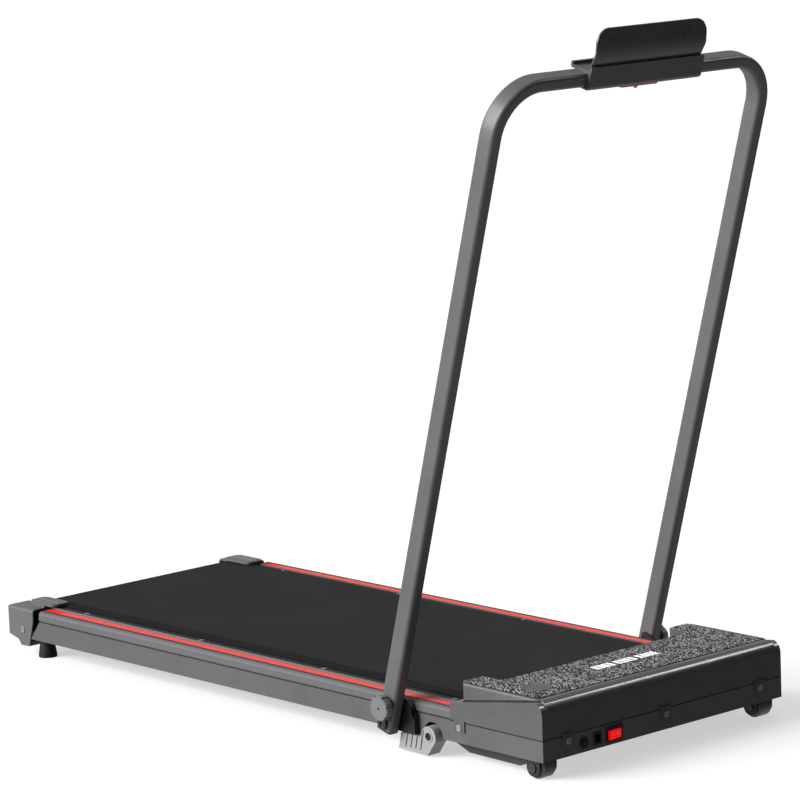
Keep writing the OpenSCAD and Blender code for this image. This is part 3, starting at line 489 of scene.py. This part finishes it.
def make_digits():
    """Three pairs of lit digits, hatched bars that lie just over the film."""
    low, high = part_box("display_board")
    lift = 0.00005
    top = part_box("hood_panel")[1].z + lift
    margin_x, margin_y = 0.006, 0.007
    x0, x1 = low.x + margin_x, high.x - margin_x
    y0, y1 = low.y + margin_y, high.y - margin_y
    middle = (y0 + y1) / 2
    group = (x1 - x0) / 3
    group_inset, digit_pitch, digit_width = 0.002, 0.0195, 0.0168
    bar, hatch_pitch, hatch_width = 0.0042, 0.0042, 0.0026
    faces = []
    for pair in range(3):
        for digit in range(2):
            left = x0 + pair * group + group_inset + digit * digit_pitch
            right = left + digit_width
            bars = [(left, y0, right, y0 + bar), (left, middle - bar / 2, right, middle + bar / 2),
                    (left, y1 - bar, right, y1), (left, y0, left + bar, y1), (right - bar, y0, right, y1)]
            for bx0, by0, bx1, by1 in bars:
                steps = int((bx1 - bx0 + by1 - by0) / hatch_pitch) + 1
                for step in range(steps):
                    stripe_start = bx0 + by0 + step * hatch_pitch
                    outline = stripe_in_box((bx0, by0), (bx1, by1), stripe_start, hatch_width)
                    if len(outline) >= 3:
                        faces.append([(x, y, top) for x, y in outline])
    material = start("digits", 0.4, emission_strength=0.9)
    shader_of(material).inputs["Emission Color"].default_value = (0.9, 0.92, 0.95, 1)
    colour_by(material, noise(material, 500, 2), (0.6, 0.6, 0.62), (0.85, 0.85, 0.87))
    flat_piece("digits", faces, "display_board", material)


# ---------------------------------------------------------------- camera, floor, light

def make_camera():
    azimuth = math.radians(-41.71)
    elevation = math.radians(9.72)
    roll = -0.0379
    right = Vector((math.cos(azimuth), math.sin(azimuth), 0))
    back = Vector((math.sin(azimuth) * math.cos(elevation),
                   -math.cos(azimuth) * math.cos(elevation), math.sin(elevation)))
    up = back.cross(right)
    right_turned = right * math.cos(roll) + up * math.sin(roll)
    up_turned = up * math.cos(roll) - right * math.sin(roll)
    data = bpy.data.cameras.new("camera")
    data.lens = 175.2
    data.sensor_width = 36
    data.clip_end = 120  # beyond the far side of the wall
    camera = bpy.data.objects.new("camera", data)
    bpy.context.scene.collection.objects.link(camera)
    turn = Matrix((right_turned, up_turned, back)).transposed().to_4x4()
    in_front = 3.8080
    position = (-3.8808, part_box("front_panel")[0].y - in_front, 1.4519)
    camera.matrix_world = Matrix.Translation(position) @ turn
    bpy.context.scene.camera = camera


def make_floor():
    mesh = bpy.data.meshes.new("floor")
    half = 40
    mesh.from_pydata([(-half, -half, 0), (half, -half, 0), (half, half, 0), (-half, half, 0)], [],
                     [(0, 1, 2, 3)])
    floor = bpy.data.objects.new("floor", mesh)
    bpy.context.scene.collection.objects.link(floor)
    material = start("floor", 0.9, specular_ior_level=0.0, emission_strength=0.545)
    shader_of(material).inputs["Emission Color"].default_value = (1, 1, 1, 1)
    colour_by(material, noise(material, 0.8, 2), (0.56, 0.56, 0.565), (0.58, 0.58, 0.585))
    mesh.materials.append(material)
    floor.visible_diffuse = False
    floor.visible_glossy = False


def make_wall():
    """White studio wall all round, seen by the camera only, so that it takes no light away."""
    radius, height, steps = 38, 30, 48
    mesh = bpy.data.meshes.new("wall")
    turns = [2 * math.pi * step / steps for step in range(steps)]
    vertices = [(radius * math.cos(t), radius * math.sin(t), z) for z in (0, height) for t in turns]
    faces = [(i, (i + 1) % steps, (i + 1) % steps + steps, i + steps) for i in range(steps)]
    mesh.from_pydata(vertices, [], faces)
    wall = bpy.data.objects.new("wall", mesh)
    bpy.context.scene.collection.objects.link(wall)
    material = start("wall", 1.0, specular_ior_level=0.0, emission_strength=0.97)
    shader_of(material).inputs["Emission Color"].default_value = (1, 1, 1, 1)
    colour_by(material, noise(material, 0.2, 2), (0.01, 0.01, 0.01), (0.02, 0.02, 0.02))
    mesh.materials.append(material)
    wall.visible_diffuse = False
    wall.visible_glossy = False
    wall.visible_transmission = False
    wall.visible_shadow = False


def aim(lamp, position, target):
    direction = Vector(target) - Vector(position)
    turn = direction.to_track_quat("-Z", "Y").to_matrix().to_4x4()
    lamp.matrix_world = Matrix.Translation(position) @ turn


def make_area(name, position, target, size, power):
    data = bpy.data.lights.new(name, "AREA")
    data.shape = "RECTANGLE"
    data.size, data.size_y = size
    data.energy = power
    lamp = bpy.data.objects.new(name, data)
    bpy.context.scene.collection.objects.link(lamp)
    aim(lamp, position, target)
    return lamp


def make_sun(name, position, strength, spread):
    data = bpy.data.lights.new(name, "SUN")
    data.energy = strength
    data.angle = math.radians(spread)
    lamp = bpy.data.objects.new(name, data)
    bpy.context.scene.collection.objects.link(lamp)
    aim(lamp, position, (0, 0, 0))


def towards(world, component, sign, strength):
    """Light that grows up to strength as the direction turns to one side along an axis."""
    return maths(world, "MULTIPLY", maths(world, "MULTIPLY", component, sign, True), strength)


def make_world():
    """A studio room: bright to the left and behind, dark in front, with a bounce from below."""
    world = bpy.data.worlds.new("world")
    bpy.context.scene.world = world
    world.use_nodes = True
    background = world.node_tree.nodes["Background"]
    background.inputs["Color"].default_value = (1, 1, 1, 1)
    coordinate = add(world, "ShaderNodeTexCoord")
    direction = add(world, "ShaderNodeSeparateXYZ")
    join(world, coordinate.outputs["Generated"], direction.inputs["Vector"])
    left = towards(world, direction.outputs["X"], -1.0, 0.28)
    rear = towards(world, direction.outputs["Y"], 1.0, 0.15)
    right = towards(world, direction.outputs["X"], 1.0, 0.16)
    above = towards(world, direction.outputs["Z"], 1.0, 0.16)
    total = maths(world, "ADD", maths(world, "ADD", left, rear), maths(world, "ADD", right, above))
    behind = maths(world, "ADD", maths(world, "MULTIPLY", direction.outputs["Y"], 1.6), 0.9, True)
    lifted = maths(world, "ADD", maths(world, "MULTIPLY", total, behind), 0.03)
    horizon = maths(world, "MULTIPLY", maths(world, "ADD", direction.outputs["Z"], 0.05), 12.0, True)
    below = maths(world, "MULTIPLY", direction.outputs["Z"], -1.0, True)
    steep_from = 0.34
    steep = maths(world, "MULTIPLY", maths(world, "SUBTRACT", below, steep_from), 4.0, True)
    shallow_bounce = maths(world, "MULTIPLY", below, 0.12)
    bounce = maths(world, "ADD", shallow_bounce, maths(world, "MULTIPLY", steep, 0.46))
    sky = maths(world, "MULTIPLY", lifted, maths(world, "ADD", horizon, 0.6))
    join(world, maths(world, "ADD", sky, bounce), background.inputs["Strength"])


def make_lights():
    """A broad sun from the left rear, and a lamp in front that shows only in reflections."""
    make_world()
    make_sun("key", (-3.6, 1.7, 2.0), 4.2, 40)
    gloss = make_area("gloss", (2.76, -1.84, 2.7), (0, -0.6, 0.1), (0.9, 1.0), 34)
    gloss.visible_diffuse = False


# ---------------------------------------------------------------- seams, painted shade, margins and marks

def groove_lines(front, material):
    """Painted shade: a dark line in the groove between the two tiers of the hood, on each side."""
    beside_film = 0.00615
    level_at_front, fall = 0.1155, 0.1568
    below, above = 0.0008, 0.0018
    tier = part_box("hood_panel")[1].x + beside_film
    for name, x in (("left_groove", -tier), ("right_groove", tier)):
        faces = []
        for start_y, end_y in ((0.012, 0.07), (0.07, 0.13), (0.13, 0.1725)):
            start_z, end_z = (level_at_front - y * fall for y in (start_y, end_y))
            faces.append([(x, front + start_y, start_z - below), (x, front + end_y, end_z - below),
                          (x, front + end_y, end_z + above), (x, front + start_y, start_z + above)])
        flat_piece(name, faces, "hood_cover", material)


def seam_lines(front, material):
    """Dark lines of painted shade in the seam between the hood and the frame, in front and on each side."""
    lift, rail_gap = 0.0001, 0.0005
    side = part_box("front_panel")[1].x + lift
    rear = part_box("left_rail")[0].y - rail_gap
    low, high = 0.0593, 0.0612
    y = front - lift
    faces = [[(-side, y, low), (side, y, low), (side, y, high), (-side, y, high)]]
    for x in (-side, side):
        faces.append(upright_face(x, front, rear, low, high))
    flat_piece("seam_lines", faces, "hood_cover", material)


def film_borders(material, print_material):
    """The film's printed side margins, and dark lines along its front and side edges."""
    low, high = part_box("hood_panel")
    lift, rear_inset = 0.0001, 0.004
    level = low.z + lift
    rear = high.y - rear_inset
    margin, line = 0.0036, 0.0014
    faces = [flat_box(low.x, low.y - line, high.x, low.y, level)]
    margins = []
    for sign in (-1, 1):
        edge = sign * high.x
        inner, outer = edge + sign * margin, edge + sign * (margin + line)
        margins.append(flat_box(min(edge, inner), low.y, max(edge, inner), rear, level))
        faces.append(flat_box(min(inner, outer), low.y, max(inner, outer), rear, level))
    flat_piece("film_lines", faces, "hood_cover", material)
    flat_piece("film_margins", margins, "hood_cover", print_material)


def strip_lines(side, material):
    """Painted shade: dark lines in the gaps along both edges of the red strip in a rail."""
    low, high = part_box(side + "_rail_strip")
    sunk, gap = 0.00012, 0.0032
    level = high.z - sunk
    faces = []
    for x0, x1 in ((low.x - gap, low.x), (high.x, high.x + gap)):
        faces.append(flat_box(x0, low.y, x1, high.y, level))
    flat_piece(side + "_strip_lines", faces, side + "_rail", material)


def end_shade_sheets(material):
    """Dark sheets of painted shade inside the rear caps, which close the view between cap and beam."""
    off_centre, length = 0.232, 0.07
    low, high = 0.038, 0.0745
    for side, sign in (("left", -1), ("right", 1)):
        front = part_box(side + "_rear_cap")[0].y
        face = upright_face(sign * off_centre, front, front + length, low, high)
        flat_piece(side + "_end_shade", [face], side + "_rear_cap", material)


def make_seams(film):
    """All the dark lines and sheets, and the film's margins, which take the film's own material; the groove,
    seam and strip lines and the end sheets are painted shade.
    """
    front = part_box("front_panel")[0].y
    # Near-black for the dark lines and sheets; in the groove, the seam and the end sheets it is painted shade.
    material = rubber("seam", (0.004, 0.004, 0.004))
    groove_lines(front, material)
    seam_lines(front, material)
    film_borders(material, film)
    # Dark teal for the painted shade along the edges of the red strips.
    teal = rubber("strip_shade", (0.008, 0.026, 0.03))
    for side in ("left", "right"):
        strip_lines(side, teal)
    end_shade_sheets(material)


def make_marks():
    """White line and ring on the two flats of the rocker."""
    pivot = next(j for j in record["behaviour"]["joints"] if j["name"] == "rocker_tip")["pos_m"]
    tilt = math.radians(8)
    face_depth, face_slope, lift = 0.0045, 0.144, 0.00006

    def on_rocker(x, z):
        """The point on the face of the rocker at x and z from its pivot, along the tilted rocker."""
        y = -face_depth - abs(x) * face_slope - lift
        return (pivot[0] + x * math.cos(tilt) - y * math.sin(tilt),
                pivot[1] + x * math.sin(tilt) + y * math.cos(tilt), pivot[2] + z)
    line_far, line_near, line_half = -0.0078, -0.0042, 0.0005
    faces = [[on_rocker(line_far, -line_half), on_rocker(line_near, -line_half),
              on_rocker(line_near, line_half), on_rocker(line_far, line_half)]]
    ring_centre, outer_r, inner_r, steps = 0.006, 0.0021, 0.0013, 24
    for step in range(steps):
        a, b = (2 * math.pi * (step + k) / steps for k in (0, 1))
        corners = [(outer_r, a), (outer_r, b), (inner_r, b), (inner_r, a)]
        faces.append([on_rocker(ring_centre + r * math.cos(t), r * math.sin(t)) for r, t in corners])
    material = start("marks", 0.5)
    colour_by(material, noise(material, 900, 2), (0.75, 0.75, 0.75), (0.85, 0.85, 0.85))
    flat_piece("rocker_marks", faces, "switch_rocker", material)


made = dress_nodes()
for node, width in SOFTENED.items():
    softened(node, width)
make_digits()
make_marks()
make_seams(made["film"])
bpy.context.scene.view_settings.view_transform = "Standard"
make_floor()
make_wall()
make_lights()
make_camera()
